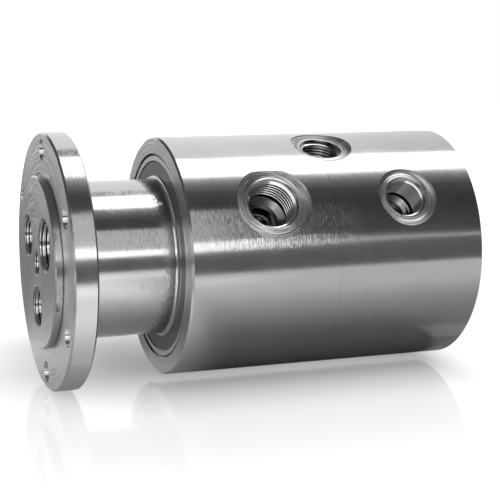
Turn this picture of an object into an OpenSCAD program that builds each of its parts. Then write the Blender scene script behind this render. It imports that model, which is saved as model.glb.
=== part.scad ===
// Three-passage rotary union: a flanged rotor turning in a round, side-ported housing.
// X is the axis of rotation and x = 0 is the flange's mounting face. The housing lies
// towards +X and +Z is up. Angles about X start at the top and turn towards -Y.

/* [Flange] */
// Outer diameter of the mounting flange
flange_d = 106.2; // [100:0.2:120]
// Thickness of the mounting flange
flange_t = 9.8; // [8:0.2:16]
// Diameter of the centring pilot on the mounting face
pilot_d = 71; // [66:0.5:78]
// Height of the pilot above the mounting face
pilot_h = 3.2; // [2:0.1:6]
// Width of the relief groove at the pilot's root
pilot_relief_w = 1.4; // [0.8:0.1:2]
// Depth of the relief groove at the pilot's root
pilot_relief_depth = 0.4; // [0.2:0.1:1]
// Distance from the flange's rim to the bolt circle
bolt_edge = 7.1; // [6:0.1:8]
// Number of bolt holes
bolt_count = 6; // [4:1:8]
// Diameter of the bolt holes
bolt_hole_d = 9; // [6.6:0.2:9.4]
// Radius of the circle on which the three flange ports lie
flange_port_pitch_r = 18.3; // [17.6:0.1:18.6]
// Thread diameter of the centre hole
centre_hole_d = 10; // [6:1:12]
// Depth of the centre hole's thread
centre_hole_l = 20; // [12:1:30]

/* [Rotor] */
// Length of the bare neck between the flange and the housing
neck_l = 37.8; // [20:0.2:60]
// Fillet where the neck runs into the flange
neck_fillet_r = 1.6; // [0.8:0.2:4]
// Height of the collar that stops the front bearing's inner ring
collar_h = 1.2; // [0.8:0.1:2]
// Length of the concave flare from the neck to the collar's edge
collar_l = 1.4; // [1.2:0.2:4]
// Height of the land under the passage seals above the rear bearing's seat
land_h = 2.5; // [2:0.1:3]
// Depth of the ring channels in the land
channel_depth = 1.8; // [1:0.1:2]
// Width of the large passage's ring channel
channel_large_w = 13; // [10:0.5:15]
// Width of the two small passages' ring channels
channel_small_w = 9; // [7:0.5:11]
// Bore of the large passage through the rotor
passage_large_d = 11; // [9:0.5:11]
// Bore of the two small passages through the rotor
passage_small_d = 9; // [7:0.5:10]

/* [Housing] */
// Outer diameter of the housing
housing_d = 100; // [98:0.5:110]
// Chamfer on the housing's and the flange's outer edges
edge_chamfer = 0.8; // [0.4:0.1:1.4]
// Distance from the housing's front face to the axis of port A
port_a_from_front = 37.2; // [33:0.1:50]
// Distance from port A to port B along the housing
port_a_to_b = 30.5; // [26:0.1:45]
// Distance from port B to port C along the housing
port_b_to_c = 28.8; // [24:0.1:45]
// Distance from port C to the housing's rear face
port_c_to_rear = 32.3; // [31.8:0.1:50]
// Angle of port A from the top
port_a_angle = 58.3; // [50:0.1:70]
// Angle of port B from the top
port_b_angle = 21.5; // [0:0.1:45]
// Angle of port C from the top
port_c_angle = 58.2; // [50:0.1:70]
// Distance from the housing's rim to the circle of torque-arm holes
arm_edge = 8; // [6:0.5:9]
// Number of torque-arm holes
arm_count = 4; // [2:1:6]
// Thread diameter of the torque-arm holes
arm_hole_d = 6; // [4:1:8]
// Depth of the torque-arm holes' threads
arm_hole_l = 12; // [8:1:14]

/* [Ports] */
// Major diameter of the large port thread
large_thread_d = 20.955; // [20.5:0.005:21.2]
// Major diameter of the small port threads
small_thread_d = 16.662; // [16.2:0.002:17]
// Spot face around the large port
large_spot_d = 31.6; // [28:0.2:34]
// Spot face around each small port
small_spot_d = 26; // [22:0.2:28]
// Depth of the large spot face below a full circle; less than 0 leaves two straight edges
large_spot_depth = -0.4; // [-0.6:0.1:1]
// Depth of the small spot faces below a full circle
small_spot_depth = 0.3; // [-0.4:0.1:1]
// Full thread in the large port
large_thread_l = 12.2; // [10:0.2:13]
// Full thread in each small port
small_thread_l = 11.4; // [9:0.2:13]
// Chamfer at a port's mouth
mouth_chamfer = 0.5; // [0.2:0.1:1]
// Undercut beyond the thread, measured on the radius
relief_depth = 0.25; // [0.1:0.05:0.6]
// Length of the undercut below the thread
relief_l = 3.4; // [2:0.2:4]
// Flow hole below the large port's thread
large_flow_d = 16; // [14:0.5:18]
// Flow hole below each small port's thread
small_flow_d = 12; // [10:0.2:13]

/* [Front bearing] */
// Bore of the front bearing, which is also the neck's diameter
front_bore_d = 65; // [64:0.5:66]
// Radial height of the front bearing, from its bore to its outside
front_section = 10; // [9.5:0.1:11]
// Width of the front bearing
front_w = 10; // [9.5:0.5:13]
// Number of balls in the front bearing
front_ball_count = 26; // [16:1:30]
// Depth of the front bearing below the housing's front face
front_recess = 0.4; // [0:0.1:2]

// Ball diameter as a share of either bearing's radial section
ball_share = 0.53; // [0.48:0.01:0.56]

/* [Rear bearing] */
// Bore of the rear bearing
rear_bore_d = 50; // [49:0.5:51]
// Radial height of the rear bearing, from its bore to its outside
rear_section = 7.5; // [7:0.1:8]
// Width of the rear bearing
rear_w = 7; // [6.8:0.1:8]
// Number of balls in the rear bearing
rear_ball_count = 26; // [16:1:30]

/* [Passage seals] */
// Width of a seal groove in the housing's bore
seal_groove_w = 4.2; // [3.6:0.1:4.4]
// Depth of a seal groove below the housing's bore
seal_groove_depth = 5.2; // [4.4:0.1:6]
// Radial thickness of the sliding seal ring
seal_ring_t = 1.9; // [1.4:0.1:2.4]
// Wall between an end passage and its outer seal groove
seal_wall = 1.2; // [1:0.1:1.6]

/* [Rear closure] */
// Thickness of the rear cover's plate
cover_t = 3.6; // [3.2:0.1:4]
// Radial thickness of the cover's lip against the bearing's outer ring
cover_lip_t = 1.7; // [1.2:0.1:1.8]
// Depth of the O-ring groove in the cover's rim
cover_groove_depth = 1.4; // [1:0.1:1.8]
// Width of the O-ring groove in the cover's rim
cover_groove_w = 1.9; // [1.7:0.1:2.2]
// Thickness of the bore ring that holds the cover
bore_ring_t = 2.5; // [2:0.1:2.6]
// Depth of the bore ring's groove in the housing
bore_ring_groove_depth = 1.5; // [1:0.1:2]
// Housing length left behind the bore ring
rear_land_l = 2; // [1.5:0.1:4]
// Thickness of the retaining ring on the rotor
shaft_ring_t = 2; // [1.6:0.1:2.2]
// Depth of the retaining ring's groove in the rotor
shaft_ring_groove_depth = 1.5; // [1:0.1:2]
// Length of rotor left behind the retaining ring
rotor_tail_l = 1.2; // [1:0.1:2]

/* [Clearances] */
// Radial clearance between the rotor's land and the housing's bore
land_gap = 0.1; // [0.05:0.01:0.1]
// Radial clearance of a bearing ring on its seat
seat_gap = 0.02; // [0.01:0.01:0.03]
// Clearance between a ball and its raceways and pocket
ball_gap = 0.08; // [0.04:0.01:0.12]
// Clearance around the soft seals
seal_gap = 0.03; // [0.02:0.01:0.06]
// Axial clearance between the rotor and what turns past its end faces
end_gap = 0.5; // [0.4:0.1:1]
// Side clearance of a retaining ring in its groove
ring_groove_gap = 0.15; // [0.1:0.05:0.2]

/* [Hidden] */

// Smoothness of large and small round forms
$fn = 120;
small_fn = 48;
// How far a cutting tool runs past the face that it opens
over = 1;
// Included angle of a drill's point, and the rise of its cone for each unit of radius
drill_angle = 118;
drill_rise = 1 / tan(drill_angle / 2);

// Places along the axis
front_x = flange_t + neck_l;
port_a_x = front_x + port_a_from_front;
port_b_x = port_a_x + port_a_to_b;
port_c_x = port_b_x + port_b_to_c;
rear_x = port_c_x + port_c_to_rear;
front_bearing_x = front_x + front_recess;
front_bearing_end = front_bearing_x + front_w;
seat_end_x = front_bearing_end + end_gap;
front_pocket_end = seat_end_x + end_gap;
bore_ring_x = rear_x - rear_land_l - bore_ring_t - ring_groove_gap;
cover_x = bore_ring_x - cover_t;
rotor_end_x = cover_x - end_gap;
shaft_ring_end = rotor_end_x - rotor_tail_l - ring_groove_gap;
shaft_ring_x = shaft_ring_end - shaft_ring_t;
rear_bearing_end = shaft_ring_x;
rear_bearing_x = rear_bearing_end - rear_w;

// Radii of the rotor and the housing
neck_r = front_bore_d / 2;
collar_r = neck_r + collar_h;
rear_seat_r = rear_bore_d / 2;
land_r = rear_seat_r + land_h;
bolt_circle_r = flange_d / 2 - bolt_edge;
arm_circle_r = housing_d / 2 - arm_edge;

// Outside and balls of each bearing
front_outer_d = front_bore_d + 2 * front_section;
rear_outer_d = rear_bore_d + 2 * rear_section;
front_ball_d = ball_share * front_section;
rear_ball_d = ball_share * rear_section;
bore_r = land_r + land_gap;
channel_r = land_r - channel_depth;
shaft_groove_r = rear_seat_r - shaft_ring_groove_depth;
rear_pocket_depth = end_gap;
seat_chamfer = 0.6;
pilot_chamfer = 0.5;
collar_edge_l = 0.4;
bore_chamfer = 0.6;

// Ports and passages: angle of each passage's hole in the flange
passage_angles = [60, 180, 300];
passage_x = [port_a_x, port_b_x, port_c_x];
passage_r = [passage_large_d / 2, passage_small_d / 2, passage_small_d / 2];
channel_w = [channel_large_w, channel_small_w, channel_small_w];
port_angles = [port_a_angle, port_b_angle, port_c_angle];
thread_r = [large_thread_d / 2, small_thread_d / 2, small_thread_d / 2];
thread_l = [large_thread_l, small_thread_l, small_thread_l];
spot_r = [large_spot_d / 2, small_spot_d / 2, small_spot_d / 2];
flow_r = [large_flow_d / 2, small_flow_d / 2, small_flow_d / 2];
spot_depth = [large_spot_depth, small_spot_depth, small_spot_depth];
// Distance from the axis to a spot face, from where its circle would just be whole
function spot_height(i) = sqrt(pow(housing_d / 2, 2) - pow(spot_r[i], 2)) - spot_depth[i];

// Seal stations: one outside each end passage and one midway between neighbours
seal_end_offset = seal_wall + seal_groove_w / 2;
seal_x = [
    port_a_x - flow_r[0] - seal_end_offset,
    (port_a_x + flow_r[0] + port_b_x - flow_r[1]) / 2,
    (port_b_x + flow_r[1] + port_c_x - flow_r[2]) / 2,
    port_c_x + flow_r[2] + seal_end_offset
];
seal_groove_r = bore_r + seal_groove_depth;
seal_ring_outer_r = land_r + seal_gap + seal_ring_t;
seal_ring_w = seal_groove_w - 2 * seal_gap;

// Bearing proportions: shoulder height from the ball's edge, and the shield seats
shoulder_share = 0.2;
shield_step = 0.6;
shield_t = 0.6;
shield_recess = 0.25;
lip_share = 0.14;
lip_gap = 0.1;
ring_edge = 0.3;
cage_t_share = 0.34;
cage_side_gap = 0.25;

// Retaining rings: radial width, gap and lugs
ring_width = 4.4;
lug_r = 2.6;
lug_hole_r = 1.1;
lug_reach = 3.4;
ring_open_angle = 16;

// Profile points are [radius, place along X]
module turned() {
    rotate([0, 90, 0])
        rotate_extrude()
            children();
}

// A plain ring about the axis
module ring(inner_r, outer_r, x, length) {
    turned()
        translate([inner_r, x])
            square([outer_r - inner_r, length]);
}

// A drilled and tapped hole, mouth at the origin and opening towards +Z
module tapped_hole(r, length, chamfer) {
    rotate_extrude($fn = small_fn)
        polygon([
            [0, over], [r + chamfer, over], [r + chamfer, 0], [r, -chamfer],
            [r, -length], [0, -length - r * drill_rise]
        ]);
}

// A port in the housing: spot face, thread, undercut and flow hole, opening towards +Z
module port_tool(i) {
    top = housing_d / 2 - spot_height(i) + over;
    thread_end = -thread_l[i];
    relief_end = thread_end - relief_l;
    bottom = bore_r / 2 - spot_height(i);
    rotate_extrude()
        polygon([
            [0, top], [spot_r[i], top], [spot_r[i], 0],
            [thread_r[i] + mouth_chamfer, 0], [thread_r[i], -mouth_chamfer],
            [thread_r[i], thread_end],
            [thread_r[i] + relief_depth, thread_end - relief_depth],
            [thread_r[i] + relief_depth, relief_end],
            [flow_r[i], relief_end - (thread_r[i] + relief_depth - flow_r[i]) * drill_rise],
            [flow_r[i], bottom], [0, bottom]
        ]);
}

// A passage through the rotor: port thread in the pilot's face, then a blind drilling
module passage_tool(i) {
    depth = passage_x[i] + pilot_h + passage_r[i];
    thread_end = -thread_l[i];
    rotate_extrude($fn = small_fn)
        polygon([
            [0, over], [thread_r[i] + mouth_chamfer, over],
            [thread_r[i] + mouth_chamfer, 0], [thread_r[i], -mouth_chamfer],
            [thread_r[i], thread_end],
            [passage_r[i], thread_end - (thread_r[i] - passage_r[i]) * drill_rise],
            [passage_r[i], -depth], [0, -depth - passage_r[i] * drill_rise]
        ]);
}

module flanged_rotor() {
    color([0.74, 0.75, 0.76])
        difference() {
            rotor_blank();
            for (i = [0:2]) {
                rotate([passage_angles[i], 0, 0])
                    translate([-pilot_h, 0, flange_port_pitch_r])
                        rotate([0, -90, 0])
                            passage_tool(i);
                rotate([passage_angles[i], 0, 0])
                    translate([passage_x[i], 0, flange_port_pitch_r])
                        cylinder(r = passage_r[i], h = land_r, $fn = small_fn);
                ring(channel_r, land_r + over, passage_x[i] - channel_w[i] / 2, channel_w[i]);
            }
            for (k = [0:bolt_count - 1])
                rotate([360 * k / bolt_count, 0, 0])
                    translate([-over, 0, bolt_circle_r])
                        rotate([0, 90, 0])
                            cylinder(d = bolt_hole_d, h = flange_t + 2 * over, $fn = small_fn);
            translate([-pilot_h, 0, 0])
                rotate([0, -90, 0])
                    tapped_hole(centre_hole_d / 2, centre_hole_l, mouth_chamfer);
        }
}

// The rotor as turned, before any hole is drilled
module rotor_blank() {
    pilot_r = pilot_d / 2;
    flange_r = flange_d / 2;
    fillet_steps = 6;
    flare_r = (pow(collar_l, 2) + pow(collar_h, 2)) / (2 * collar_h);
    flare_turn = asin(collar_l / flare_r);
    flare_end_x = front_bearing_x - collar_edge_l;
    turned()
        polygon(concat(
            [
                [0, -pilot_h], [pilot_r - pilot_chamfer, -pilot_h],
                [pilot_r, -pilot_h + pilot_chamfer], [pilot_r, pilot_relief_depth],
                [pilot_r + pilot_relief_w, pilot_relief_depth],
                [pilot_r + pilot_relief_w, 0],
                [flange_r - edge_chamfer, 0], [flange_r, edge_chamfer],
                [flange_r, flange_t - edge_chamfer], [flange_r - edge_chamfer, flange_t]
            ],
            [
                for (k = [0:fillet_steps])
                    let (a = 90 * k / fillet_steps)
                        [neck_r + neck_fillet_r * (1 - sin(a)),
                         flange_t + neck_fillet_r * (1 - cos(a))]
            ],
            [
                for (k = [0:fillet_steps])
                    let (a = flare_turn * k / fillet_steps)
                        [neck_r + flare_r * (1 - cos(a)),
                         flare_end_x - collar_l + flare_r * sin(a)]
            ],
            [
                [collar_r, front_bearing_x],
                [neck_r - seat_gap, front_bearing_x],
                [neck_r - seat_gap, seat_end_x - seat_chamfer],
                [neck_r - seat_gap - seat_chamfer, seat_end_x], [land_r, seat_end_x],
                [land_r, rear_bearing_x], [rear_seat_r - seat_gap, rear_bearing_x],
                [rear_seat_r - seat_gap, shaft_ring_x], [shaft_groove_r, shaft_ring_x],
                [shaft_groove_r, shaft_ring_end + ring_groove_gap],
                [rear_seat_r - seat_gap, shaft_ring_end + ring_groove_gap],
                [rear_seat_r - seat_gap, rotor_end_x - seat_chamfer],
                [rear_seat_r - seat_gap - seat_chamfer, rotor_end_x], [0, rotor_end_x]
            ]
        ));
}

module housing() {
    color([0.70, 0.71, 0.72])
        difference() {
            housing_blank();
            for (x = seal_x)
                ring(bore_r - over, seal_groove_r, x - seal_groove_w / 2, seal_groove_w);
            for (i = [0:2])
                translate([passage_x[i], 0, 0])
                    rotate([port_angles[i], 0, 0])
                        translate([0, 0, spot_height(i)])
                            port_tool(i);
            for (k = [0:arm_count - 1])
                rotate([180 / arm_count + 360 * k / arm_count, 0, 0])
                    translate([rear_x, 0, arm_circle_r])
                        rotate([0, 90, 0])
                            tapped_hole(arm_hole_d / 2, arm_hole_l, mouth_chamfer);
        }
}

// The housing as turned and bored, before the seal grooves, ports and tapped holes
module housing_blank() {
    outer_r = housing_d / 2;
    front_seat_r = front_outer_d / 2;
    rear_seat_bore_r = rear_outer_d / 2;
    turned()
        polygon([
            [front_seat_r + bore_chamfer, front_x], [outer_r - edge_chamfer, front_x],
            [outer_r, front_x + edge_chamfer], [outer_r, rear_x - edge_chamfer],
            [outer_r - edge_chamfer, rear_x], [rear_seat_bore_r + bore_chamfer, rear_x],
            [rear_seat_bore_r, rear_x - bore_chamfer],
            [rear_seat_bore_r, bore_ring_x + bore_ring_t + ring_groove_gap],
            [rear_seat_bore_r + bore_ring_groove_depth, bore_ring_x + bore_ring_t + ring_groove_gap],
            [rear_seat_bore_r + bore_ring_groove_depth, bore_ring_x],
            [rear_seat_bore_r, bore_ring_x],
            [rear_seat_bore_r, rear_bearing_x],
            [shoulder_r_outer(rear_bore_d, rear_outer_d, rear_ball_d), rear_bearing_x],
            [shoulder_r_outer(rear_bore_d, rear_outer_d, rear_ball_d), rear_bearing_x - rear_pocket_depth],
            [bore_r, rear_bearing_x - rear_pocket_depth],
            [bore_r, front_pocket_end],
            [shoulder_r_outer(front_bore_d, front_outer_d, front_ball_d), front_pocket_end],
            [shoulder_r_outer(front_bore_d, front_outer_d, front_ball_d), front_bearing_end],
            [front_seat_r, front_bearing_end], [front_seat_r, front_x + bore_chamfer]
        ]);
}

// Bearing radii that follow from the bore, the outer diameter and the ball
function pitch_r(bore_d, outer_d) = (bore_d + outer_d) / 4;
function shoulder_r_inner(bore_d, outer_d, ball_d) =
    pitch_r(bore_d, outer_d) - ball_d / 2 + shoulder_share * ball_d;
function shoulder_r_outer(bore_d, outer_d, ball_d) =
    pitch_r(bore_d, outer_d) + ball_d / 2 - shoulder_share * ball_d;
// Radius of the step on which an inner ring's seal lips run
function lip_r(bore_d, outer_d) = bore_d / 2 + lip_share * (outer_d - bore_d) / 2;

// The raceway is a ring groove a little wider than the ball
module raceway(bore_d, outer_d, ball_d, x) {
    turned()
        translate([pitch_r(bore_d, outer_d), x])
            circle(r = ball_d / 2 + ball_gap, $fn = small_fn);
}

module bearing_inner_ring(bore_d, outer_d, width, ball_d, x) {
    shoulder = shoulder_r_inner(bore_d, outer_d, ball_d);
    bore = bore_d / 2;
    lip = lip_r(bore_d, outer_d);
    step = shield_recess + shield_t + lip_gap;
    difference() {
        turned()
            polygon([
                [bore + ring_edge, x], [lip, x], [lip, x + step], [shoulder, x + step],
                [shoulder, x + width - step], [lip, x + width - step], [lip, x + width],
                [bore + ring_edge, x + width], [bore, x + width - ring_edge], [bore, x + ring_edge]
            ]);
        raceway(bore_d, outer_d, ball_d, x + width / 2);
    }
}

module bearing_outer_ring(bore_d, outer_d, width, ball_d, x) {
    shoulder = shoulder_r_outer(bore_d, outer_d, ball_d);
    outer = outer_d / 2 - seat_gap;
    seat = shoulder + shield_step;
    shield_depth = shield_recess + shield_t;
    difference() {
        turned()
            polygon([
                [seat + ring_edge, x], [outer - ring_edge, x], [outer, x + ring_edge],
                [outer, x + width - ring_edge], [outer - ring_edge, x + width],
                [seat + ring_edge, x + width], [seat, x + width - ring_edge],
                [seat, x + width - shield_depth], [shoulder, x + width - shield_depth],
                [shoulder, x + shield_depth], [seat, x + shield_depth], [seat, x + ring_edge]
            ]);
        raceway(bore_d, outer_d, ball_d, x + width / 2);
    }
}

module bearing_balls(bore_d, outer_d, width, ball_d, count, x) {
    for (k = [0:count - 1])
        rotate([360 * k / count, 0, 0])
            translate([x + width / 2, 0, pitch_r(bore_d, outer_d)])
                sphere(d = ball_d, $fn = small_fn);
}

// A window cage: one ring with a round pocket for each ball
module bearing_cage(bore_d, outer_d, width, ball_d, count, x) {
    cage_t = cage_t_share * ball_d;
    cage_w = width - 2 * (shield_recess + shield_t + cage_side_gap);
    middle = pitch_r(bore_d, outer_d);
    difference() {
        ring(middle - cage_t / 2, middle + cage_t / 2, x + (width - cage_w) / 2, cage_w);
        for (k = [0:count - 1])
            rotate([360 * k / count, 0, 0])
                translate([x + width / 2, 0, middle - cage_t])
                    cylinder(d = ball_d + 2 * ball_gap, h = 2 * cage_t, $fn = small_fn);
    }
}

// A disc seal snapped into the outer ring, with its lip close to the inner ring's step
module bearing_seal(bore_d, outer_d, ball_d, face_x) {
    ring(
        lip_r(bore_d, outer_d) + lip_gap,
        shoulder_r_outer(bore_d, outer_d, ball_d) + shield_step - seal_gap,
        face_x, shield_t
    );
}

module front_bearing_inner_ring() {
    color([0.82, 0.83, 0.85])
        bearing_inner_ring(front_bore_d, front_outer_d, front_w, front_ball_d, front_bearing_x);
}

module front_bearing_outer_ring() {
    color([0.80, 0.81, 0.83])
        bearing_outer_ring(front_bore_d, front_outer_d, front_w, front_ball_d, front_bearing_x);
}

module front_bearing_balls() {
    color([0.90, 0.91, 0.93])
        bearing_balls(front_bore_d, front_outer_d, front_w, front_ball_d, front_ball_count, front_bearing_x);
}

module front_bearing_cage() {
    color([0.78, 0.62, 0.30])
        bearing_cage(front_bore_d, front_outer_d, front_w, front_ball_d, front_ball_count, front_bearing_x);
}

module front_bearing_outer_seal() {
    color([0.42, 0.43, 0.44])
        bearing_seal(front_bore_d, front_outer_d, front_ball_d, front_bearing_x + shield_recess);
}

module front_bearing_inner_seal() {
    color([0.42, 0.43, 0.44])
        bearing_seal(
            front_bore_d, front_outer_d, front_ball_d,
            front_bearing_end - shield_recess - shield_t
        );
}

module rear_bearing_inner_ring() {
    color([0.82, 0.83, 0.85])
        bearing_inner_ring(rear_bore_d, rear_outer_d, rear_w, rear_ball_d, rear_bearing_x);
}

module rear_bearing_outer_ring() {
    color([0.80, 0.81, 0.83])
        bearing_outer_ring(rear_bore_d, rear_outer_d, rear_w, rear_ball_d, rear_bearing_x);
}

module rear_bearing_balls() {
    color([0.90, 0.91, 0.93])
        bearing_balls(rear_bore_d, rear_outer_d, rear_w, rear_ball_d, rear_ball_count, rear_bearing_x);
}

module rear_bearing_cage() {
    color([0.78, 0.62, 0.30])
        bearing_cage(rear_bore_d, rear_outer_d, rear_w, rear_ball_d, rear_ball_count, rear_bearing_x);
}

// The rear bearing's outer seal is the one that faces the cover
module rear_bearing_outer_seal() {
    color([0.20, 0.20, 0.21])
        bearing_seal(
            rear_bore_d, rear_outer_d, rear_ball_d,
            rear_bearing_end - shield_recess - shield_t
        );
}

module rear_bearing_inner_seal() {
    color([0.20, 0.20, 0.21])
        bearing_seal(rear_bore_d, rear_outer_d, rear_ball_d, rear_bearing_x + shield_recess);
}

// The sliding ring that seals on the rotor's land
module seal_ring(i) {
    color([0.55, 0.42, 0.30])
        ring(land_r + seal_gap, seal_ring_outer_r, seal_x[i] - seal_ring_w / 2, seal_ring_w);
}

// The O-ring behind a sliding ring, which presses it onto the land
module seal_energiser(i) {
    section_r = (seal_groove_r - seal_ring_outer_r) / 2;
    color([0.10, 0.10, 0.11])
        turned()
            translate([seal_ring_outer_r + section_r, seal_x[i]])
                circle(r = section_r - seal_gap, $fn = small_fn);
}

// The flat outline of a retaining ring whose two lugs stand on circle_r; its opening is at +Y
module ring_outline(inner_r, outer_r, circle_r) {
    difference() {
        union() {
            difference() {
                circle(r = outer_r);
                circle(r = inner_r);
                polygon([
                    [0, 0],
                    [-2 * outer_r * tan(ring_open_angle / 2), 2 * outer_r],
                    [2 * outer_r * tan(ring_open_angle / 2), 2 * outer_r]
                ]);
            }
            for (side = [-1, 1])
                rotate([0, 0, side * ring_open_angle])
                    translate([0, circle_r])
                        circle(r = lug_r, $fn = small_fn);
        }
        for (side = [-1, 1])
            rotate([0, 0, side * ring_open_angle])
                translate([0, circle_r])
                    circle(r = lug_hole_r, $fn = small_fn);
    }
}

module shaft_retaining_ring() {
    inner_r = shaft_groove_r + seat_gap;
    color([0.25, 0.26, 0.27])
        translate([shaft_ring_x, 0, 0])
            rotate([0, 90, 0])
                linear_extrude(height = shaft_ring_t)
                    ring_outline(inner_r, inner_r + ring_width, inner_r + lug_reach);
}

module bore_retaining_ring() {
    outer_r = rear_outer_d / 2 + bore_ring_groove_depth - seat_gap;
    color([0.25, 0.26, 0.27])
        translate([bore_ring_x, 0, 0])
            rotate([0, 90, 0])
                linear_extrude(height = bore_ring_t)
                    ring_outline(outer_r - ring_width, outer_r, outer_r - ring_width - lug_reach / 2);
}

// A closed disc whose lip holds the rear bearing's outer ring
module rear_cover() {
    outer_r = rear_outer_d / 2 - seat_gap;
    lip_r = rear_outer_d / 2 - cover_lip_t;
    groove_x = cover_x + (cover_t - cover_groove_w) / 2;
    color([0.68, 0.69, 0.70])
        turned()
            polygon([
                [0, cover_x], [lip_r, cover_x], [lip_r, rear_bearing_end],
                [outer_r, rear_bearing_end], [outer_r, groove_x],
                [rear_outer_d / 2 - cover_groove_depth, groove_x],
                [rear_outer_d / 2 - cover_groove_depth, groove_x + cover_groove_w],
                [outer_r, groove_x + cover_groove_w], [outer_r, cover_x + cover_t],
                [0, cover_x + cover_t]
            ]);
}

module rear_cover_o_ring() {
    color([0.10, 0.10, 0.11])
        turned()
            translate([(rear_outer_d - cover_groove_depth) / 2, cover_x + cover_t / 2])
                circle(r = cover_groove_depth / 2 - seal_gap, $fn = small_fn);
}

flanged_rotor();
housing();
front_bearing_inner_ring();
front_bearing_outer_ring();
front_bearing_balls();
front_bearing_cage();
front_bearing_outer_seal();
front_bearing_inner_seal();
rear_bearing_inner_ring();
rear_bearing_outer_ring();
rear_bearing_balls();
rear_bearing_cage();
rear_bearing_outer_seal();
rear_bearing_inner_seal();
seal_ring(0);  // seal_ring_1
seal_ring(1);  // seal_ring_2
seal_ring(2);  // seal_ring_3
seal_ring(3);  // seal_ring_4
seal_energiser(0);  // seal_energiser_1
seal_energiser(1);  // seal_energiser_2
seal_energiser(2);  // seal_energiser_3
seal_energiser(3);  // seal_energiser_4
shaft_retaining_ring();
rear_cover();
rear_cover_o_ring();
bore_retaining_ring();
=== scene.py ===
"""Looks of the rotary union: turned stainless steel, cut threads and sealed bearings."""

import math

import bmesh
import bpy
from mathutils import Matrix, Vector


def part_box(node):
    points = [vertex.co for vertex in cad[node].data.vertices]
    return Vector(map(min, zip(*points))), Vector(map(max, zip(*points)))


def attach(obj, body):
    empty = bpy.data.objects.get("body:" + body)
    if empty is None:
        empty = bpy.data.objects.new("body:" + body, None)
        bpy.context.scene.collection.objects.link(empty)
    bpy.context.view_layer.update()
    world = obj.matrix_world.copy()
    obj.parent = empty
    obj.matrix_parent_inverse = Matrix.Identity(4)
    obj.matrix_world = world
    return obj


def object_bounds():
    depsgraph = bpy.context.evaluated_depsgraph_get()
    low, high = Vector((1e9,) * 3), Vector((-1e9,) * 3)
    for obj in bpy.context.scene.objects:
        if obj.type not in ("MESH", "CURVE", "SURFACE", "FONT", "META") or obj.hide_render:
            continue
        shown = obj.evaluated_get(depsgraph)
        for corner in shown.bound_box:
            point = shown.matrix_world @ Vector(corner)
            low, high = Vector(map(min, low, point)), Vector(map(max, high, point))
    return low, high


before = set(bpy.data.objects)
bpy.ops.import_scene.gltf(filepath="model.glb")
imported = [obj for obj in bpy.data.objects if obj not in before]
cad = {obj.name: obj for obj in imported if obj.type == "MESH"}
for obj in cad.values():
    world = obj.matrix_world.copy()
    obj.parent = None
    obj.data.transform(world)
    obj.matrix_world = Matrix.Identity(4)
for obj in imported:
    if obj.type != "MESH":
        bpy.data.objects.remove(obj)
cad_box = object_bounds()

# Camera
# The photograph is taken from the flange's side and a little above the axis, through a
# long lens. X runs along the axis from the flange to the housing's rear, and Z is up.
CAMERA_PLACE = Vector((-0.1155, -0.5438, 0.0878))
CAMERA_LOOKS = Vector((0.34985, 0.92488, -0.14900))
CAMERA_LENS = 97.8
CAMERA_CLIP = 0.01

camera = bpy.data.objects.new("camera", bpy.data.cameras.new("camera"))
camera.data.lens = CAMERA_LENS
camera.data.clip_start = CAMERA_CLIP
camera.location = CAMERA_PLACE
camera.rotation_euler = CAMERA_LOOKS.to_track_quat("-Z", "Y").to_euler()
bpy.context.scene.collection.objects.link(camera)
bpy.context.scene.camera = camera
bpy.context.scene.view_settings.view_transform = "Standard"


# Studio room
# White paper hangs behind and over the part, and the room is dark behind the photographer.
# The camera sees nothing but the paper, and the steel mirrors the whole room.
class Wire:
    """A socket in a node tree. Sums and products of wires add Math nodes."""

    def __init__(self, finish, socket):
        self.finish = finish
        self.socket = socket

    def math(self, operation, other=0.0):
        return self.finish.add("ShaderNodeMath", {"operation": operation}, {0: self, 1: other})

    def __add__(self, other):
        return self.math("ADD", other)

    def __radd__(self, other):
        return self.math("ADD", other)

    def __sub__(self, other):
        return self.math("SUBTRACT", other)

    def __rsub__(self, other):
        return self.finish.add("ShaderNodeMath", {"operation": "SUBTRACT"}, {0: other, 1: self})

    def __mul__(self, other):
        return self.math("MULTIPLY", other)

    def __rmul__(self, other):
        return self.math("MULTIPLY", other)

    def __truediv__(self, other):
        return self.math("DIVIDE", other)

    def __rtruediv__(self, other):
        return self.finish.add("ShaderNodeMath", {"operation": "DIVIDE"}, {0: other, 1: self})

    def __gt__(self, other):
        return self.math("GREATER_THAN", other)

    def __lt__(self, other):
        return self.math("LESS_THAN", other)

    def __abs__(self):
        return self.math("ABSOLUTE")

    def root(self):
        return self.math("SQRT")

    def fade(self, low, high):
        """0 below low, 1 above high, and smooth between them."""
        return self.finish.add(
            "ShaderNodeMapRange", {"interpolation_type": "SMOOTHSTEP"},
            {"Value": self, "From Min": low, "From Max": high},
        )

    def within(self, rise, full, still_full, gone):
        """1 from full to still_full, and 0 before rise and after gone."""
        return self.fade(rise, full) * (1.0 - self.fade(still_full, gone))

    def between(self, low, high):
        """A number that runs from low to high as the wire goes from 0 to 1."""
        return self * (high - low) + low

    def scaled(self, amount):
        """A colour or vector, with all its parts times an amount."""
        return self.finish.add(
            "ShaderNodeVectorMath", {"operation": "SCALE"}, {0: self, "Scale": amount}
        )


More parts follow.
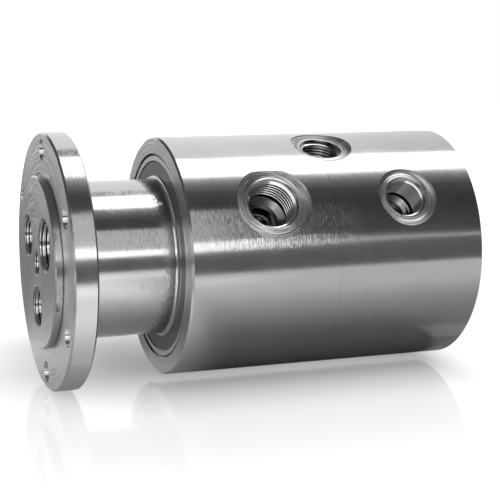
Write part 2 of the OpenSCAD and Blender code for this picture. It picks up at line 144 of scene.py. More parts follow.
class Finish:
    """Builds the node tree of one material, or of the world."""

    def __init__(self, tree):
        self.tree = tree
        tree.nodes.clear()

    def add(self, kind, settings=None, inputs=None, output=0):
        """Adds a node, with its settings first and then the values or wires of its sockets."""
        made = self.tree.nodes.new(kind)
        for key, value in (settings or {}).items():
            if key == "stops":
                self.set_stops(made.color_ramp, value)
            else:
                setattr(made, key, value)
        for key, value in (inputs or {}).items():
            if isinstance(value, Wire):
                self.tree.links.new(value.socket, made.inputs[key])
            else:
                made.inputs[key].default_value = value
        return Wire(self, made.outputs[output]) if len(made.outputs) else made

    def set_stops(self, ramp, stops):
        """Grey levels of a ramp, as pairs of place and level."""
        ramp.interpolation = "EASE"
        while len(ramp.elements) < len(stops):
            ramp.elements.new(1.0)
        for element, (place, level) in zip(ramp.elements, stops):
            element.position = place
            element.color = (level, level, level, 1.0)

    def xyz(self, vector):
        """The three parts of a vector."""
        split = self.add("ShaderNodeSeparateXYZ", {}, {0: vector}).socket.node
        return [Wire(self, split.outputs[k]) for k in range(3)]

    def rays(self):
        """1 for a ray from the camera, one off metal, and one through glass, in that order."""
        light_path = self.add("ShaderNodeLightPath").socket.node
        kinds = ("Is Camera Ray", "Is Glossy Ray", "Is Transmission Ray")
        return [Wire(self, light_path.outputs[kind]) for kind in kinds]


def cross_fade(first, second, share):
    """The first number at share 0 and the second at share 1."""
    return first * (1.0 - share) + share * second


# Turns are in degrees, from straight up towards the photographer. X and Z are the parts of
# a direction, so X tells how far it points to the right.
WHITE = (1.0, 1.0, 1.0)
# The paper behind and over the part is a little darker on the right. To the left there is a
# dim gap between the paper and the lamp over the part.
PAPER_RIGHT_X = (0.36, 0.50)
PAPER_RIGHT_LOSS = 0.22
GAP_TURN = (-36, -30, -22, -17)
GAP_LEFT_X = (0.238, 0.272)
GAP_LOSS = 0.72
# In front of the paper the ceiling falls off to the dark end of the room
PAPER_END_TURN = (-24, -16)
ROOM_START, ROOM_SPAN = -20, 150
ROOM_LEVELS = [
    (-20, 0.95), (4, 0.60), (9, 0.32), (15, 0.17), (23, 0.078), (40, 0.052), (66, 0.075),
    (80, 0.15), (90, 0.14), (130, 0.10),
]
# On the left the ceiling is dark, and lower down a window lights the front of the room
DARK_LEFT_X = (0.02, 0.18)
DARK_LEFT_Z = (0.26, 0.44)
DARK_LEFT_LEVEL = 0.10
WINDOW_X = (0.0, 0.19)
WINDOW_TURN = (28, 42, 82, 92)
WINDOW_LEVEL = 0.65
# A thin gap of light at the right, which the housing mirrors as a fine line
LINE_TURN = 76.3
LINE_HALF = (0.3, 1.0)
LINE_X = (0.32, 0.38)
LINE_LEVEL = 1.0
# The soft fill that reaches matt surfaces comes from the left
FILL_X = (-0.7, 0.5)
FILL_FROM_LEFT, FILL_FROM_RIGHT = 0.34, 0.06

world = bpy.data.worlds.new("studio room")
bpy.context.scene.world = world
world.use_nodes = True
room = Finish(world.node_tree)
look_x, look_y, look_z = room.xyz(room.add("ShaderNodeTexCoord"))
turn = (look_y * -1.0).math("ARCTAN2", look_z) * (180 / math.pi)
gap = turn.within(*GAP_TURN) * (1.0 - look_x.fade(*GAP_LEFT_X))
paper = 1.0 - look_x.fade(*PAPER_RIGHT_X) * PAPER_RIGHT_LOSS - gap * GAP_LOSS
front = room.add(
    "ShaderNodeValToRGB", {"stops": [((a - ROOM_START) / ROOM_SPAN, v) for a, v in ROOM_LEVELS]},
    {"Fac": (turn - ROOM_START) * (1 / ROOM_SPAN)},
)
window = turn.within(*WINDOW_TURN) * (1.0 - look_x.fade(*WINDOW_X))
dark_left = look_z.fade(*DARK_LEFT_Z) * (1.0 - look_x.fade(*DARK_LEFT_X)) * (1.0 - window)
line = 1.0 - abs(turn - LINE_TURN).fade(*LINE_HALF)
mirrored = cross_fade(paper, front, turn.fade(*PAPER_END_TURN))
mirrored = cross_fade(mirrored, WINDOW_LEVEL, window)
mirrored = mirrored + line * look_x.fade(*LINE_X) * LINE_LEVEL
mirrored = cross_fade(mirrored, DARK_LEFT_LEVEL, dark_left)
fill = look_x.fade(*FILL_X).between(FILL_FROM_LEFT, FILL_FROM_RIGHT)
from_camera, off_metal, through_glass = room.rays()
shiny = off_metal + through_glass
strength = from_camera + shiny * mirrored + (1.0 - from_camera - shiny) * fill
room_light = room.add("ShaderNodeBackground", {}, {"Color": (*WHITE, 1.0), "Strength": strength})
room.add("ShaderNodeOutputWorld", {}, {"Surface": room_light})

# Table top
# Smooth white laminate under the part, faintly glossy. It also glows, with painted light:
# the camera sees the glow fade round the part as a painted shadow, and the steel mirrors
# it as painted shade under the flange and the housing. Its front edge lies between the
# part and the photographer, so the steel mirrors a dark line there.
TABLE_COLOUR = (0.62, 0.62, 0.62)
TABLE_GLOSS = 0.09
TABLE_SPECULAR = 0.45
TABLE_X = (-2.2, 2.6)
TABLE_Y = (-0.31, 2.4)
# Each patch of that painted glow goes from the first level to the second, round a box in X
# and Y, over a reach to the left, to the right and in Y. The camera sees the first patch, a
# painted shadow round the part, and the steel mirrors the other two, painted shade under
# the flange and under the housing.
SEEN = {
    "levels": (0.0, 0.67), "x": (0.055, 0.168), "y": (0.03, 0.05), "reach": (0.11, 0.03, 0.10),
}
NEAR_FLANGE = {
    "levels": (0.14, 0.80), "x": (-2.0, 2.0), "y": (-0.015, 0.015), "reach": (1.0, 1.0, 0.075),
}
UNDER_HOUSING = {
    "levels": (0.0, 0.45), "x": (-2.0, 0.25), "y": (-0.04, 0.12), "reach": (1.0, 0.10, 0.10),
}
FLANGE_TO_HOUSING = (0.045, 0.075)
# The steel also sees the table's colour darker right under the housing: a painted shadow of the
# part.
SHADOW = {
    "levels": (0.35, 0.0), "x": (0.05, 0.19), "y": (-0.02, 0.10), "reach": (0.03, 0.06, 0.04),
}
SHADOW_COLOUR = (0.03, 0.03, 0.03)
# Painted shade: the corner behind the flange mirrors darker. The camera sees the front edge
# and the far table top brighter.
DARK_CORNER_X = (-0.10, -0.02)
DARK_CORNER_Y = (0.0, 0.04)
DARK_CORNER_LOSS = 0.7
FRONT_Y = (-0.16, -0.06)
FRONT_GLOW = 0.13
TABLE_MIDDLE_X = 0.09
FAR_OFF = (0.22, 0.50)
FAR_GLOW = 0.6
# The painted sheen that the steel mirrors near the housing is a little warm
WARM_WHITE = (1.0, 0.965, 0.955)

table_z = cad_box[0][2]


def flat_sheet(name, x_range, y_range, height, material):
    """A flat stage piece with the given sides and material."""
    (left, right), (near, far) = x_range, y_range
    corners = [
        (left, near, height), (right, near, height), (right, far, height), (left, far, height),
    ]
    mesh = bpy.data.meshes.new(name)
    mesh.from_pydata(corners, [], [(0, 1, 2, 3)])
    mesh.materials.append(material)
    made = bpy.data.objects.new(name, mesh)
    bpy.context.scene.collection.objects.link(made)
    return made


def patch(places, levels, x, y, reach):
    """One level inside a box, going over to the other beyond it."""
    total = 0.0
    for place, (low, high), (before, after) in zip(places, (x, y), (reach[:2], reach[2:] * 2)):
        short, past = (low - place) * (1.0 / before), (place - high) * (1.0 / after)
        off = short.math("MAXIMUM", past).math("MAXIMUM", 0.0)
        total = off * off + total
    return total.root().fade(0.0, 1.0).between(*levels)


def mix_colours(finish, share, first, second):
    """The first colour at share 0 and the second at share 1."""
    return finish.add(
        "ShaderNodeMix", {"data_type": "RGBA"}, {0: share, 6: (*first, 1.0), 7: (*second, 1.0)}, 2,
    )


laminate = bpy.data.materials.new("white laminate")
laminate.use_nodes = True
paint = Finish(laminate.node_tree)
table_x, table_y, _ = paint.xyz(paint.add("ShaderNodeTexCoord", {}, {}, "Object"))
places = (table_x, table_y)
from_camera, off_metal, through_glass = paint.rays()
# Painted sheen: the glow that the steel mirrors, with painted shade under the flange and the
# housing
to_housing = table_x.fade(*FLANGE_TO_HOUSING)
painted_sheen = cross_fade(patch(places, **NEAR_FLANGE), patch(places, **UNDER_HOUSING), to_housing)
# Painted shade in the corner behind the flange
in_corner = (1.0 - table_x.fade(*DARK_CORNER_X)) * (1.0 - table_y.fade(*DARK_CORNER_Y))
painted_sheen = painted_sheen * (1.0 - in_corner * DARK_CORNER_LOSS)
off_x = table_x - TABLE_MIDDLE_X
far_off = (off_x * off_x + table_y * table_y).root().fade(*FAR_OFF)
# The glow that the camera sees, with a painted shadow round the part
seen = patch(places, **SEEN) + (1.0 - table_y.fade(*FRONT_Y)) * FRONT_GLOW + far_off * FAR_GLOW
glow = from_camera * seen + (off_metal + through_glass) * painted_sheen
glow_colour = mix_colours(paint, to_housing * (1.0 - from_camera), WHITE, WARM_WHITE)
# The colour that the steel sees carries a painted shadow under the housing
top = paint.add("ShaderNodeBsdfPrincipled", {}, {
    "Base Color": mix_colours(
        paint, off_metal * patch(places, **SHADOW), TABLE_COLOUR, SHADOW_COLOUR
    ),
    "Roughness": TABLE_GLOSS, "Specular IOR Level": TABLE_SPECULAR,
    "Emission Color": glow_colour.scaled(glow), "Emission Strength": 1.0,
})
paint.add("ShaderNodeOutputMaterial", {}, {"Surface": top})
flat_sheet("table_top", TABLE_X, TABLE_Y, table_z, laminate)

# Grey cards of painted shade
# A long grey card lies on the table behind the flange's left, and a darker one behind the
# neck. Only the steel sees them, as painted shade on the table, so that the faces that look
# along the axis mirror grey instead of white.
CARD_X = (-1.6, -0.004)
CARD_Y = (0.10, 1.5)
DARK_CARD_X = (-0.004, 0.05)
DARK_CARD_Y = (0.04, 0.45)
DARK_CARD_SHARE = 0.45
# Grey levels at the near edge, behind it, and far away
CARD_EDGE, CARD_NEAR, CARD_FAR = 0.34, 0.15, 0.24
CARD_EDGE_Y = (0.10, 0.22)
CARD_FAR_Y = (0.3, 0.8)
CARD_LIFT = 0.0005

shade_card_paint = bpy.data.materials.new("painted shade card")
shade_card_paint.use_nodes = True
paint = Finish(shade_card_paint.node_tree)
card_x, card_y, _ = paint.xyz(paint.add("ShaderNodeTexCoord", {}, {}, "Object"))
level = card_y.fade(*CARD_FAR_Y).between(CARD_NEAR, CARD_FAR)
level = level + (1.0 - card_y.fade(*CARD_EDGE_Y)) * (CARD_EDGE - CARD_NEAR)
level = level * (1.0 - (card_x > DARK_CARD_X[0]) * (1.0 - DARK_CARD_SHARE))
shown = paint.add("ShaderNodeEmission", {}, {"Color": level, "Strength": 1.0})
clear = paint.add("ShaderNodeBsdfTransparent")
from_below = paint.add("ShaderNodeNewGeometry", {}, {}, "Backfacing")
one_sided = paint.add("ShaderNodeMixShader", {}, {0: from_below, 1: shown, 2: clear})
paint.add("ShaderNodeOutputMaterial", {}, {"Surface": one_sided})
for name, x_range, y_range in (
    ("painted_shade_card", CARD_X, CARD_Y), ("painted_deep_shade_card", DARK_CARD_X, DARK_CARD_Y),
):
    card = flat_sheet(name, x_range, y_range, table_z + CARD_LIFT, shade_card_paint)
    card.visible_camera = False
    card.visible_diffuse = False
    card.visible_shadow = False
    card.visible_transmission = False


# Lamps
# A long soft box hangs over the part, a little behind it. A large dim box and a low bright
# strip stand in front to the left. All run along the part, so the steel shows them as bands.
def soft_box(name, turn, distance, x_range, height, radiance):
    """A flat lamp along X, placed by its turn. Turn and height are in degrees."""
    turn = math.radians(turn)
    out = Vector((0, -math.sin(turn), math.cos(turn)))
    length = x_range[1] - x_range[0]
    width = 2 * distance * math.tan(math.radians(height) / 2)
    lamp = bpy.data.lights.new(name, "AREA")
    lamp.shape = "RECTANGLE"
    lamp.size = length
    lamp.size_y = width
    lamp.energy = radiance * math.pi * length * width
    made = bpy.data.objects.new(name, lamp)
    bpy.context.scene.collection.objects.link(made)
    place = out * distance + Vector((sum(x_range) / 2, 0, 0))
    made.matrix_world = Matrix.Translation(place) @ Matrix(
        (Vector((1, 0, 0)), out.cross(Vector((1, 0, 0))), out)
    ).transposed().to_4x4()


soft_box(
    "overhead soft box", turn=-6.8, distance=1.0, x_range=(0.18, 1.0), height=23.5, radiance=2.2,
)
soft_box(
    "front soft box", turn=57.0, distance=1.5, x_range=(-0.9, 0.60), height=32.0, radiance=0.60,
)
soft_box(
    "front strip", turn=76.0, distance=1.48, x_range=(-0.9, 0.62), height=8.0, radiance=1.9,
)

# Rotor
# One bar of stainless steel, turned all over: pilot, flange, neck and collar. The faces
# keep the fine rings of the facing cut, and the rounds keep the grain of the last pass.
MM = 1000.0
STEEL = (0.61, 0.61, 0.615)
ROTOR_ROUGH = 0.14
# Tool marks to a millimetre, and how fast they change round a part: on rounds and on faces
GRAIN_SCALE = 2.6
GRAIN_LENGTH = 0.4
RING_LENGTH = 0.04
# The second set of marks is finer, and lies elsewhere in the same noise
FINER = 4.3
FINER_SHIFT = 40.0
SMEAR_SCALE = 0.07
# How far the surface leans across the marks: marks wide enough to see and marks too fine to
# see on rounds, then rings to see and rings too fine to see on faces
ROTOR_LEANS = {"marks": 0.26, "fine_marks": 0.30, "rings": 0.05, "fine_rings": 1.7}
# Shares of marks and smears in the colour and the roughness. Painted shade darkens the
# colour down to near black.
MARK_SHADE, SMEAR_SHADE, PAINTED_SHADE_WEIGHT = 0.6, 0.4, 2.4
SHADE_DEPTH = 3.0
SHADE_AND_LINE_BLACK = (0.02, 0.02, 0.02)
BRIGHTEST = 1.14
MARK_ROUGH, SMEAR_ROUGH = 0.06, 0.10
# Where a dark line starts and ends, in half widths and in half lengths
LINE_EDGE_R = (0.7, 1.2)
LINE_EDGE_X = (0.8, 1.2)
# Faces are cut dry and stay matt. Drilled holes are matt too, and their marks run round the
# drill. Milled spot faces have deeper rings and a higher shine.
FACE_NORMAL = 0.95
FACE_MATT = 0.26
HOLE_MATT = 0.04
HOLE_LEAN = 0.6
SPOT_RINGS = 1.1
SPOT_SHINE = 0.12
# Holes in the flange lie in front of its rear face, inside this radius, and off the corner
# between pilot and flange. A slight taper in them catches the light.
PILOT_ROOT_R, PILOT_ROOT_HALF = 36.2, 1.5
FLANGE_T, FLANGE_EDGE = 9.8, 0.3
HOLES_R = 52.0
HOLE_TAPER = -0.27
MOUTH_NORMAL = 0.3
# Painted shade darkens a hole's mouth, its walls a little, and the rotor inside the housing
MOUTH_PAINTED_SHADE, HOLE_PAINTED_SHADE, INSIDE_PAINTED_SHADE = 0.9, 0.1, 0.85
SHADED_FROM_X = 50.0
NOT_ZERO = 0.001


def new_material(name, colour, roughness, metallic=1.0):
    """A material whose shader's plain values are set, ready for its nodes."""
    made = bpy.data.materials.new(name)
    made.use_nodes = True
    finish = Finish(made.node_tree)
    finish.material = made
    shader = finish.add("ShaderNodeBsdfPrincipled", {}, {
        "Base Color": (*colour, 1.0), "Roughness": roughness, "Metallic": metallic,
    })
    finish.shader = shader.socket.node
    finish.add("ShaderNodeOutputMaterial", {}, {"Surface": shader})
    return finish


def drive(finish, socket, wire):
    """Feeds one of the shader's sockets with a wire."""
    finish.tree.links.new(wire.socket, finish.shader.inputs[socket])


def place_mm(finish):
    """Place on the piece in millimetres, along X, Y and Z."""
    place = finish.add("ShaderNodeTexCoord", {}, {}, "Object")
    return [part * MM for part in finish.xyz(place)]


def vector(finish, x, y, z):
    return finish.add("ShaderNodeCombineXYZ", {}, {0: x, 1: y, 2: z})


def noise(finish, x, y, z, detail=2.0, rough=0.5):
    """Random levels from 0 to 1 that change about once over a unit of x, y or z."""
    return finish.add("ShaderNodeTexNoise", {}, {
        "Vector": vector(finish, x, y, z), "Scale": 1.0, "Detail": detail, "Roughness": rough,
    })


def toned(colour, amount):
    """A darker or brighter tone of a colour."""
    return tuple(part * amount for part in colour)


def tool_tilt(finish, across, amount):
    """The surface's normal, leaned across the tool marks by an amount."""
    lean = finish.add(
        "ShaderNodeVectorTransform",
        {"vector_type": "VECTOR", "convert_from": "OBJECT", "convert_to": "WORLD"}, {0: across},
    )
    plain = finish.add("ShaderNodeNewGeometry", {}, {}, "Normal")
    both = finish.add(
        "ShaderNodeVectorMath", {"operation": "ADD"}, {0: plain, 1: lean.scaled(amount)}
    )
    return finish.add("ShaderNodeVectorMath", {"operation": "NORMALIZE"}, {0: both})


def swap_vector(finish, share, first, second):
    """The first vector at share 0 and the second at share 1."""
    return finish.add("ShaderNodeMix", {"data_type": "VECTOR"}, {0: share, 4: first, 5: second}, 1)


def lathe_path(finish, x, y, z, radius, normal):
    """The lathe tool's path and the direction across its marks. It then says how much of a
    face, a hole, painted shade and a spot face each place is, and how far the surface
    leans there."""
    plain = dict.fromkeys(("hole", "shade_painted", "spot", "lean"), 0.0)
    return {
        "path": x + radius, "across": vector(finish, 1.0, y / radius, z / radius),
        "face": abs(normal[0]) > FACE_NORMAL, **plain,
    }


def rotor_path(finish, x, y, z, radius, normal):
    """The lathe's path over the rotor, and the drill's path down the holes in its flange."""
    tool = lathe_path(finish, x, y, z, radius, normal)
    in_flange = (x < FLANGE_T - FLANGE_EDGE) * (radius < HOLES_R)
    off_pilot = abs(radius - PILOT_ROOT_R) > PILOT_ROOT_HALF
    in_hole = in_flange * off_pilot * (1.0 - tool["face"])
    at_mouth = in_hole * (abs(normal[0]) > MOUTH_NORMAL)
    tool["path"] = cross_fade(tool["path"], x, in_hole)
    tool["across"] = swap_vector(finish, in_hole, tool["across"], (1.0, 0.0, 0.0))
    tool["hole"] = in_hole
    tool["lean"] = in_hole * HOLE_TAPER
    # Painted shade at a hole's mouth and walls, and on the rotor inside the housing
    tool["shade_painted"] = at_mouth * MOUTH_PAINTED_SHADE + in_hole * HOLE_PAINTED_SHADE + (x > SHADED_FROM_X) * INSIDE_PAINTED_SHADE
    return tool


def turned_steel(name, colour, roughness, leans, path_of=lathe_path, dark_lines=()):
    """Turned steel. Each dark line round the axis, given by its radius, half width, x, half
    length and depth, is painted shade in a gap, or a faint tool line."""
    finish = new_material(name, colour, roughness)
    x, y, z = place_mm(finish)
    normal = finish.xyz(finish.add("ShaderNodeTexCoord", {}, {}, "Normal"))
    radius = (y * y + z * z).root() + NOT_ZERO
    tool = path_of(finish, x, y, z, radius, normal)
    path, on_face, in_hole, on_spot = tool["path"], tool["face"], tool["hole"], tool["spot"]
    length = on_face.between(GRAIN_LENGTH, RING_LENGTH)
    around = (y * length, z * length)
    marks = noise(finish, path * GRAIN_SCALE, *around, detail=4.0, rough=0.65)
    finer_path = path * GRAIN_SCALE * FINER + FINER_SHIFT
    fine = noise(finish, finer_path, *around, detail=2.0, rough=0.6)
    smear = noise(finish, x * SMEAR_SCALE, y * SMEAR_SCALE, z * SMEAR_SCALE)
    # Marks and smears vary the tone, and painted shade and the dark lines darken it
    shade = marks * MARK_SHADE + smear * SMEAR_SHADE - tool["shade_painted"] * PAINTED_SHADE_WEIGHT
    for line_r, half_r, line_x, half_x, depth in dark_lines:
        off_r = abs(radius - line_r).fade(half_r * LINE_EDGE_R[0], half_r * LINE_EDGE_R[1])
        off_x = abs(x - line_x).fade(half_x * LINE_EDGE_X[0], half_x * LINE_EDGE_X[1])
        shade = shade - (1.0 - off_r) * (1.0 - off_x) * depth
    tone_share = (shade + SHADE_DEPTH) * (1 / (SHADE_DEPTH + 1.0))
    drive(finish, "Base Color", mix_colours(finish, tone_share, SHADE_AND_LINE_BLACK, toned(colour, BRIGHTEST)))
    matt = on_face * FACE_MATT + in_hole * HOLE_MATT - on_spot * SPOT_SHINE
    plain_rough = roughness - (MARK_ROUGH + SMEAR_ROUGH) / 2
    drive(finish, "Roughness", smear * SMEAR_ROUGH + marks * MARK_ROUGH + matt + plain_rough)
    mark_lean = on_face.between(leans["marks"], leans["rings"]) + on_spot * SPOT_RINGS
    fine_lean = on_face.between(leans["fine_marks"], leans["fine_rings"])
    fine_lean = fine_lean + in_hole * (HOLE_LEAN - leans["fine_marks"])
    lean = (marks - 0.5) * mark_lean + (fine - 0.5) * fine_lean + tool["lean"]
    drive(finish, "Normal", tool_tilt(finish, tool["across"], lean))
    return finish.material


def dress(material, *nodes):
    """Gives CAD nodes their finish."""
    for node in nodes:
        cad[node].data.materials.clear()
        cad[node].data.materials.append(material)


rotor_steel = turned_steel("turned stainless, rotor", STEEL, ROTOR_ROUGH, ROTOR_LEANS, rotor_path)
dress(rotor_steel, "flanged_rotor")

# Front bearing
# A thin-section ball bearing with ground rings, steel balls, a moulded cage and two matt
# disc seals, pressed into the housing's mouth against the rotor's collar. The rear one is
# dressed the same way.
GROUND = (0.66, 0.66, 0.67)
GROUND_ROUGH = 0.14
GROUND_LEANS = {"marks": 0.10, "fine_marks": 0.20, "rings": 0.12, "fine_rings": 0.9}
BALL_STEEL = (0.72, 0.72, 0.73)
SEAL_GREY = (0.23, 0.23, 0.235)
CAGE_AMBER = (0.55, 0.40, 0.16)
# The gaps round the outer ring and round its seal, darkened by painted shade: half widths,
# half their length along X, and how dark they are
RING_GAP_HALF = 0.35
SEAL_GAP_R, SEAL_GAP_HALF = 39.85, 0.3
GAP_HALF_X = 0.5
GAP_DEPTH = 6.0
# A grain's darkest and brightest colour, and its share of the roughness
GRAIN_DARK, GRAIN_BRIGHT, GRAIN_ROUGH = 0.86, 1.12, 0.12


def plain_finish(name, colour, roughness, metallic, grain_scale, depth_mm):
    """A moulded, ground or dipped surface: an even colour with a fine random grain."""
    finish = new_material(name, colour, roughness, metallic)
    x, y, z = place_mm(finish)
    grain = noise(finish, x * grain_scale, y * grain_scale, z * grain_scale, detail=3.0)
    dark, bright = toned(colour, GRAIN_DARK), toned(colour, GRAIN_BRIGHT)
    drive(finish, "Base Color", mix_colours(finish, grain, dark, bright))
    drive(finish, "Roughness", grain * GRAIN_ROUGH + (roughness - GRAIN_ROUGH / 2))
    drive(finish, "Normal", finish.add("ShaderNodeBump", {}, {
        "Strength": 1.0, "Distance": depth_mm / MM, "Height": grain,
    }))
    return finish.material


bearing_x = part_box("front_bearing_outer_ring")[0][0] * MM
bearing_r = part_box("front_bearing_outer_ring")[1][2] * MM
ring_steel = turned_steel("ground bearing steel", GROUND, GROUND_ROUGH, GROUND_LEANS, dark_lines=[
    (bearing_r, RING_GAP_HALF, bearing_x, GAP_HALF_X, GAP_DEPTH),
    (SEAL_GAP_R, SEAL_GAP_HALF, bearing_x, GAP_HALF_X, GAP_DEPTH),
])
ball_steel = plain_finish(
    "polished balls", BALL_STEEL, roughness=0.10, metallic=1.0, grain_scale=0.6, depth_mm=0.0005,
)
seal_rubber = plain_finish(
    "disc seal", SEAL_GREY, roughness=0.40, metallic=0.5, grain_scale=2.5, depth_mm=0.01,
)
cage_polymer = plain_finish(
    "cage polymer", CAGE_AMBER, roughness=0.45, metallic=0.0, grain_scale=1.2, depth_mm=0.004,
)
for end in ("front", "rear"):
    dress(ring_steel, end + "_bearing_inner_ring", end + "_bearing_outer_ring")
    dress(ball_steel, end + "_bearing_balls")
    dress(cage_polymer, end + "_bearing_cage")
    dress(seal_rubber, end + "_bearing_outer_seal", end + "_bearing_inner_seal")

# Housing
# A thick stainless tube, turned outside and bored inside, with three side ports. Each port
# has a spot face milled flat, which keeps the cutter's rings round the port's own axis.
HOUSING_STEEL = (0.59, 0.59, 0.595)
HOUSING_ROUGH = 0.14
HOUSING_R = 50.0
BORE_R = 27.6
HOUSING_LEANS = {"marks": 0.04, "fine_marks": 0.25, "rings": 0.05, "fine_rings": 1.6}
# The gap at the bearing's seat, darkened by painted shade, and one faint line that the last
# pass left
SEAT_GAP_OUT, SEAT_GAP_HALF, SEAT_GAP_HALF_X = 0.2, 0.4, 0.8
TURNING_LINE = (HOUSING_R, 1.0, 111.0, 0.22, 0.45)
# Pipe threads: major and minor radius, pitch and length
G_HALF = {"major": 10.4775, "minor": 9.30, "pitch": 1.814, "length": 12.2}
G_THREE_EIGHTHS = {"major": 8.331, "minor": 7.475, "pitch": 1.337, "length": 11.4}
# Ports: place along X, angle from straight up, spot face's radius and how far it is sunk
# below the housing's edge there, and the angle of the same passage's port in the flange
PORTS = {
    "a": {
        "x": 84.8, "angle": 58.3, "spot_r": 15.8, "sunk": -0.4, "flange_angle": 60,
        "thread": G_HALF,
    },
    "b": {
        "x": 115.3, "angle": 21.5, "spot_r": 13.0, "sunk": 0.3, "flange_angle": 180,
        "thread": G_THREE_EIGHTHS,
    },
    "c": {
        "x": 144.1, "angle": 58.2, "spot_r": 13.0, "sunk": 0.3, "flange_angle": 300,
        "thread": G_THREE_EIGHTHS,
    },
}
# The cutter's zone is a hair wider and taller than the spot face, and the face itself is a
# thin skin. The bore's zone takes in the undercut, and its deep end meets the seal bore.
SPOT_SLACK, SPOT_SLACK_UP, SPOT_SKIN = 0.02, 0.05, 0.2
UNDERCUT_R = 1.2
BORE_SKIN = 0.8
MOUTH_DEPTH = 0.6
# How far the cutter's rings spread and lean, and how the deep end leans
RING_SHARE = 0.3
SPOT_LEAN = 2.0
BORE_LEAN = 0.8
# Painted shade darkens the bore below the thread and the port's mouth
DEEP_PAINTED_SHADE, PORT_MOUTH_PAINTED_SHADE = 0.95, 0.7


def spot_height(port):
    """Distance from the axis to a port's spot face."""
    return math.sqrt(HOUSING_R ** 2 - port["spot_r"] ** 2) - port["sunk"]


def housing_path(finish, x, y, z, radius, normal):
    """The lathe's path over the housing, and each cutter's own path at its port."""
    tool = lathe_path(finish, x, y, z, radius, normal)
    at_bore = radius < BORE_R + BORE_SKIN
    for port in PORTS.values():
        up, right = math.cos(math.radians(port["angle"])), math.sin(math.radians(port["angle"]))
        spot = spot_height(port)
        height = z * up - y * right
        side = y * up + z * right
        along = x - port["x"]
        out = (along * along + side * side).root() + NOT_ZERO
        inside = (out < port["spot_r"] + SPOT_SLACK) * (height > 0.0)
        inside = inside * (height < spot + SPOT_SLACK_UP)
        tool["path"] = cross_fade(tool["path"], out * RING_SHARE + height, inside)
        on_spot = (normal[2] * up - normal[1] * right) > FACE_NORMAL
        on_spot = on_spot * (height > spot - SPOT_SKIN)
        spot_lean = on_spot * SPOT_LEAN
        side_lean = side / out * spot_lean
        across = vector(
            finish, along / out * spot_lean, side_lean * up - right, side_lean * right + up,
        )
        tool["across"] = swap_vector(finish, inside, tool["across"], across)
        tool["face"] = cross_fade(tool["face"], on_spot, inside)
        tool["spot"] = on_spot * inside + tool["spot"]
        bore = inside * (1.0 - on_spot) * (out < port["thread"]["major"] + UNDERCUT_R)
        tool["hole"] = bore + tool["hole"]
        # Painted shade in the bore below the thread and at the port's mouth
        deep = (height < spot - port["thread"]["length"]) * (1.0 - at_bore)
        at_mouth = height > spot - MOUTH_DEPTH
        tool["shade_painted"] = bore * deep * DEEP_PAINTED_SHADE + bore * at_mouth * PORT_MOUTH_PAINTED_SHADE + tool["shade_painted"]
        tool["lean"] = bore * at_bore * BORE_LEAN + tool["lean"]
    return tool


front_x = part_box("housing")[0][0] * MM
housing_steel = turned_steel(
    "turned stainless, housing", HOUSING_STEEL, HOUSING_ROUGH, HOUSING_LEANS, housing_path,
    dark_lines=[
        (bearing_r + SEAT_GAP_OUT, SEAT_GAP_HALF, front_x, SEAT_GAP_HALF_X, GAP_DEPTH),
        TURNING_LINE,
    ],
)
dress(housing_steel, "housing")

# Port threads
# Right-handed parallel pipe threads, cut with a tap. Each is one ridge that winds up the
# port's bore, and runs in at the mouth and out at the undercut.
RIDGE_STEPS = 72
# In pitches: half the crest's width, half the root's, and where the ridge starts. It runs
# in and out over a part of a turn, from a least height.
CREST_SHARE = 0.18
ROOT_SHARE = 0.44
RIDGE_START = 0.6
RUN_IN = 0.35
LEAST_HEIGHT = 0.02
RIDGE_SINK = 0.04
SHARP_DEGREES = 35
THREAD_STEEL = (0.66, 0.66, 0.665)
# Painted shade on a thread's flanks or crests
THREAD_SHADE = (0.05, 0.05, 0.05)
THREAD_ROUGH = 0.16
# A flank's normal points along the thread's axis
FLANK_NORMAL = (0.3, 0.6)
THREAD_GRAIN = 2.0
BRIGHT_FROM, BRIGHT_TO = 0.8, 1.2


def thread_finish(name, out, bright_crest):
    """A cut thread about the axis out, with bright crests and painted shade on its flanks, or
    with bright flanks and painted shade on its crests."""
    finish = new_material("cut thread, " + name, THREAD_STEEL, THREAD_ROUGH)
    normal = finish.add("ShaderNodeTexCoord", {}, {}, "Normal")
    along = finish.add(
        "ShaderNodeVectorMath", {"operation": "DOT_PRODUCT"}, {0: normal, 1: out}, "Value"
    )
    on_flank = abs(along).fade(*FLANK_NORMAL)
    bright = 1.0 - on_flank if bright_crest else on_flank
    x, y, z = place_mm(finish)
    grain = noise(finish, x * THREAD_GRAIN, y * THREAD_GRAIN, z * THREAD_GRAIN, detail=3.0)
    shine = bright * grain.between(BRIGHT_FROM, BRIGHT_TO)
    drive(finish, "Base Color", mix_colours(finish, shine, THREAD_SHADE, THREAD_STEEL))
    drive(finish, "Roughness", grain * GRAIN_ROUGH + (THREAD_ROUGH - GRAIN_ROUGH / 2))
    if bright_crest:
        drive(finish, "Normal", tool_tilt(finish, out, (1.0 - on_flank) * -HOLE_TAPER))
    return finish.material


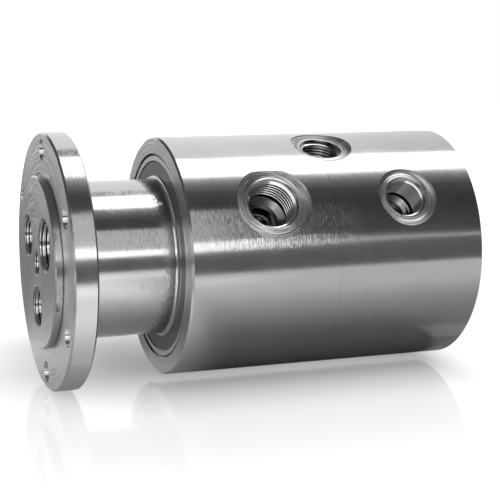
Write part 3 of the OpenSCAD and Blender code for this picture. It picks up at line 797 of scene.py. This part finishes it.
def thread_ridge(name, mouth, out, thread, body):
    """The ridge of an internal thread. mouth and out are the hole's mouth and outward axis."""
    major, minor, pitch, length = [thread[key] for key in ("major", "minor", "pitch", "length")]
    out = Vector(out).normalized()
    side = out.orthogonal().normalized()
    other = out.cross(side)
    turns = (length - RIDGE_START * pitch) / pitch
    steps = int(turns * RIDGE_STEPS)
    run_steps = RIDGE_STEPS * RUN_IN
    mesh = bmesh.new()
    rings = []
    for k in range(steps + 1):
        turn = 2 * math.pi * k / RIDGE_STEPS
        depth = RIDGE_START * pitch + pitch * k / RIDGE_STEPS
        run = min(1.0, k / run_steps, (steps - k) / run_steps)
        crest = major - (major - minor) * max(run, LEAST_HEIGHT)
        radial = side * math.cos(turn) - other * math.sin(turn)
        corners = (
            (major + RIDGE_SINK, -ROOT_SHARE), (crest, -CREST_SHARE), (crest, CREST_SHARE),
            (major + RIDGE_SINK, ROOT_SHARE),
        )
        rings.append([
            mesh.verts.new(Vector(mouth) + (radial * r - out * (depth + share * pitch)) / MM)
            for r, share in corners
        ])
    for near, far in zip(rings[:-1], rings[1:]):
        for k in range(4):
            mesh.faces.new((near[k], near[(k + 1) % 4], far[(k + 1) % 4], far[k]))
    mesh.faces.new(rings[0][::-1])
    mesh.faces.new(rings[-1])
    bmesh.ops.recalc_face_normals(mesh, faces=mesh.faces)
    data = bpy.data.meshes.new(name)
    mesh.to_mesh(data)
    mesh.free()
    data.shade_smooth()
    data.set_sharp_from_angle(angle=math.radians(SHARP_DEGREES))
    data.materials.append(thread_finish(name, tuple(out), bright_crest=body == "rotor"))
    made = bpy.data.objects.new(name, data)
    bpy.context.scene.collection.objects.link(made)
    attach(made, body)


for letter, port in PORTS.items():
    turn = math.radians(port["angle"])
    out = Vector((0, -math.sin(turn), math.cos(turn)))
    mouth = Vector((port["x"], 0, 0)) / MM + out * spot_height(port) / MM
    thread_ridge(
        "housing_port_thread_" + letter, mouth, out, port["thread"], "housing",
    )

# Flange threads
# The same pipe threads in the pilot's face, one for each passage, and a metric thread in
# the centre hole. Their crests shine and their flanks carry painted shade, unlike the
# housing's.
FLANGE_PORTS_R = 18.3
M10 = {"major": 5.0, "minor": 4.25, "pitch": 1.5, "length": 18.0}

pilot_face = cad_box[0][0]
for letter, port in PORTS.items():
    turn = math.radians(port["flange_angle"])
    mouth = (
        pilot_face, -FLANGE_PORTS_R * math.sin(turn) / MM, FLANGE_PORTS_R * math.cos(turn) / MM,
    )
    thread_ridge(
        "rotor_port_thread_" + letter, mouth, (-1, 0, 0), port["thread"], "rotor",
    )
thread_ridge("centre_hole_thread", (pilot_face, 0, 0), (-1, 0, 0), M10, "rotor")

# Passage seals
# Bronze-filled sliding rings with black rubber O-rings behind them, one pair in each
# groove of the housing's bore. They lie wholly inside the housing.
SLIDING_BROWN = (0.22, 0.13, 0.07)
RUBBER_BLACK = (0.025, 0.025, 0.026)

sliding_polymer = plain_finish(
    "filled sliding ring", SLIDING_BROWN, roughness=0.42, metallic=0.0, grain_scale=3.0,
    depth_mm=0.006,
)
black_rubber = plain_finish(
    "black rubber", RUBBER_BLACK, roughness=0.48, metallic=0.0, grain_scale=1.5, depth_mm=0.004,
)
for k in range(1, 5):
    dress(sliding_polymer, f"seal_ring_{k}")
    dress(black_rubber, f"seal_energiser_{k}")

# Retaining rings
# Spring-steel rings, stamped and phosphated dark, with a plier hole in each lug. One holds
# the rear bearing on the rotor, and the other holds the cover in the housing's bore.
PHOSPHATE_GREY = (0.075, 0.075, 0.08)

spring_steel = plain_finish(
    "phosphated spring steel", PHOSPHATE_GREY, roughness=0.40, metallic=0.75, grain_scale=4.0,
    depth_mm=0.004,
)
dress(spring_steel, "shaft_retaining_ring", "bore_retaining_ring")

# Rear cover
# A turned steel disc that closes the housing behind the rear bearing, with an O-ring in
# its rim. Its open face shows the facing cut's rings.
COVER_STEEL = (0.57, 0.57, 0.575)
COVER_ROUGH = 0.20

cover_steel = turned_steel("turned cover", COVER_STEEL, COVER_ROUGH, ROTOR_LEANS)
dress(cover_steel, "rear_cover")
dress(black_rubber, "rear_cover_o_ring")

# Torque-arm threads
# Four metric threads tapped in the housing's rear face, halfway between the top and the
# sides, for the arm that keeps the housing from turning.
ARM_CIRCLE_R = 42.0
ARM_COUNT = 4
M6 = {"major": 3.0, "minor": 2.5, "pitch": 1.0, "length": 10.0}

rear_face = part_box("housing")[1][0]
for k in range(ARM_COUNT):
    turn = math.pi / ARM_COUNT + 2 * math.pi * k / ARM_COUNT
    mouth = (rear_face, -ARM_CIRCLE_R * math.sin(turn) / MM, ARM_CIRCLE_R * math.cos(turn) / MM)
    thread_ridge(f"torque_arm_thread_{k + 1}", mouth, (1, 0, 0), M6, "housing")
